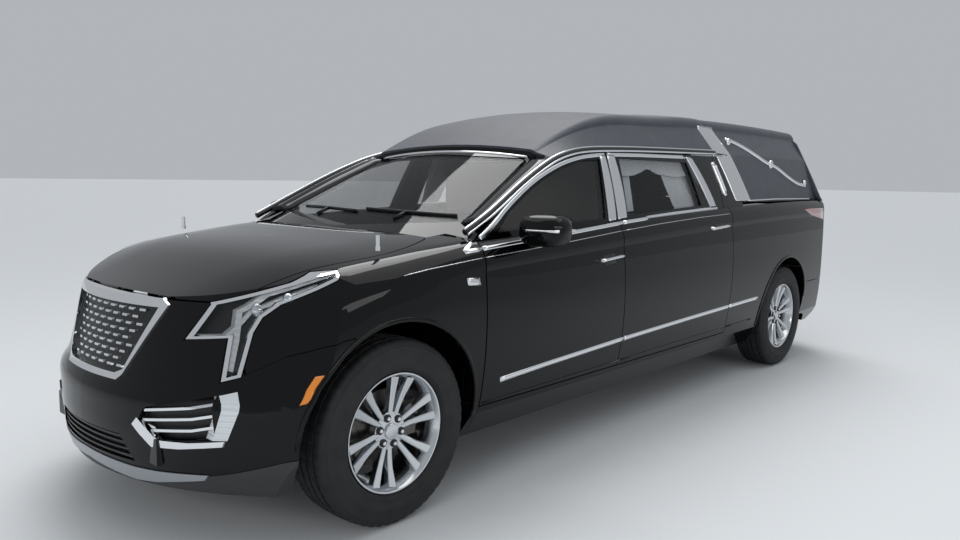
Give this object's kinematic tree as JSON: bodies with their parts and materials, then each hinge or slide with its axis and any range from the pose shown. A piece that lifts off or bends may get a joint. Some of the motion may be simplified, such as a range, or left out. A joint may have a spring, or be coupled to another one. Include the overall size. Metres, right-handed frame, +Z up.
{
  "type": "hearse",
  "caption": "Long funeral coach with a raised covered roof, side and rear doors that open, steered front wheels and a rollered loading deck.",
  "frame": {"origin": "on the ground, under the middle of the car's length and width", "axes": "+X to the nose, +Y to the car's left, +Z up"},
  "size_m": [5.9498, 2.28, 1.8579],
  "materials": {
    "paint": "gloss",
    "glass": "gloss",
    "vinyl": "grained",
    "bright_trim": "polished",
    "black_plastic": "satin",
    "lamp": "gloss",
    "tyre": "matte",
    "alloy": "polished",
    "brake_iron": "machined",
    "chassis_steel": "satin",
    "engine_alloy": "cast",
    "leather": "grained",
    "dash_plastic": "grained",
    "wood_deck": "satin",
    "lining_fabric": "matte"
  },
  "bodies": {
    "coach": {"axle_rear": "chassis_steel", "body": "paint", "bumper_front": "paint", "bumper_rear": "paint", "casket_deck": "wood_deck", "dashboard": "dash_plastic", "engine": "engine_alloy", "exhaust": "chassis_steel", "fender_left": "paint", "fender_right": "paint", "flag_sockets": "bright_trim", "grille_frame": "bright_trim", "grille_mesh": "black_plastic", "headlamps": "lamp", "knuckle_rear_left": "brake_iron", "knuckle_rear_right": "brake_iron", "partition": "lining_fabric", "seat_left": "leather", "seat_right": "leather", "subframe_front": "chassis_steel", "vinyl_roof": "vinyl", "windscreen": "glass"},
    "door_front_left": {"door_front_left": "paint", "glass_front_left": "glass", "mirror_left": "paint"},
    "door_front_right": {"door_front_right": "paint", "glass_front_right": "glass", "mirror_right": "paint"},
    "door_rear_left": {"door_rear_left": "paint", "glass_rear_left": "glass"},
    "door_rear_right": {"door_rear_right": "paint", "glass_rear_right": "glass"},
    "bonnet": {"bonnet": "paint"},
    "load_door": {"load_door": "paint", "load_door_vinyl": "vinyl", "load_door_glass": "glass"},
    "steering_wheel": {"steering_wheel": "dash_plastic"},
    "steer_left": {"knuckle_front_left": "brake_iron"},
    "steer_right": {"knuckle_front_right": "brake_iron"},
    "wheel_front_left": {"tyre_front_left": "tyre", "rim_front_left": "alloy", "disc_front_left": "brake_iron"},
    "wheel_front_right": {"tyre_front_right": "tyre", "rim_front_right": "alloy", "disc_front_right": "brake_iron"},
    "wheel_rear_left": {"tyre_rear_left": "tyre", "rim_rear_left": "alloy", "disc_rear_left": "brake_iron"},
    "wheel_rear_right": {"tyre_rear_right": "tyre", "rim_rear_right": "alloy", "disc_rear_right": "brake_iron"}
  },
  "joints": [
    {"name": "door_front_left_hinge", "type": "hinge", "parent": "coach", "child": "door_front_left", "pos_m": [1.539, 0.953, 0.75], "axis": [0, 0, 1], "range_deg": [-65, 0]},
    {"name": "door_rear_left_hinge", "type": "hinge", "parent": "coach", "child": "door_rear_left", "pos_m": [0.417, 0.953, 0.75], "axis": [0, 0, 1], "range_deg": [-65, 0]},
    {"name": "door_front_right_hinge", "type": "hinge", "parent": "coach", "child": "door_front_right", "pos_m": [1.539, -0.953, 0.75], "axis": [0, 0, 1], "range_deg": [0, 65]},
    {"name": "door_rear_right_hinge", "type": "hinge", "parent": "coach", "child": "door_rear_right", "pos_m": [0.417, -0.953, 0.75], "axis": [0, 0, 1], "range_deg": [0, 65]},
    {"name": "bonnet_hinge", "type": "hinge", "parent": "coach", "child": "bonnet", "pos_m": [1.63, 0, 1.185], "axis": [0, 1, 0], "range_deg": [-50, 0]},
    {"name": "load_door_hinge", "type": "hinge", "parent": "coach", "child": "load_door", "pos_m": [-2.955, 0.613, 1], "axis": [0, 0, 1], "range_deg": [-95, 0]},
    {"name": "steering_wheel_turn", "type": "hinge", "parent": "coach", "child": "steering_wheel", "pos_m": [1.06, 0.4, 0.96], "axis": [-0.9063, 0, 0.4226], "range_deg": [-450, 450]},
    {"name": "steer_left_turn", "type": "hinge", "parent": "coach", "child": "steer_left", "pos_m": [2.03, 0.75, 0.38], "axis": [0, 0, 1], "range_deg": [-32, 32]},
    {"name": "steer_right_turn", "type": "hinge", "parent": "coach", "child": "steer_right", "pos_m": [2.03, -0.75, 0.38], "axis": [0, 0, 1], "range_deg": [-32, 32]},
    {"name": "wheel_front_left_spin", "type": "hinge", "parent": "steer_left", "child": "wheel_front_left", "pos_m": [2.03, 0.817, 0.38], "axis": [0, 1, 0], "continuous": true},
    {"name": "wheel_front_right_spin", "type": "hinge", "parent": "steer_right", "child": "wheel_front_right", "pos_m": [2.03, -0.817, 0.38], "axis": [0, 1, 0], "continuous": true},
    {"name": "wheel_rear_left_spin", "type": "hinge", "parent": "coach", "child": "wheel_rear_left", "pos_m": [-1.87, 0.817, 0.38], "axis": [0, 1, 0], "continuous": true},
    {"name": "wheel_rear_right_spin", "type": "hinge", "parent": "coach", "child": "wheel_rear_right", "pos_m": [-1.87, -0.817, 0.38], "axis": [0, 1, 0], "continuous": true}
  ],
  "couplings": [
    {"joint": "steer_left_turn", "follows": "steering_wheel_turn", "ratio": 0.071111},
    {"joint": "steer_right_turn", "follows": "steering_wheel_turn", "ratio": 0.071111}
  ]
}
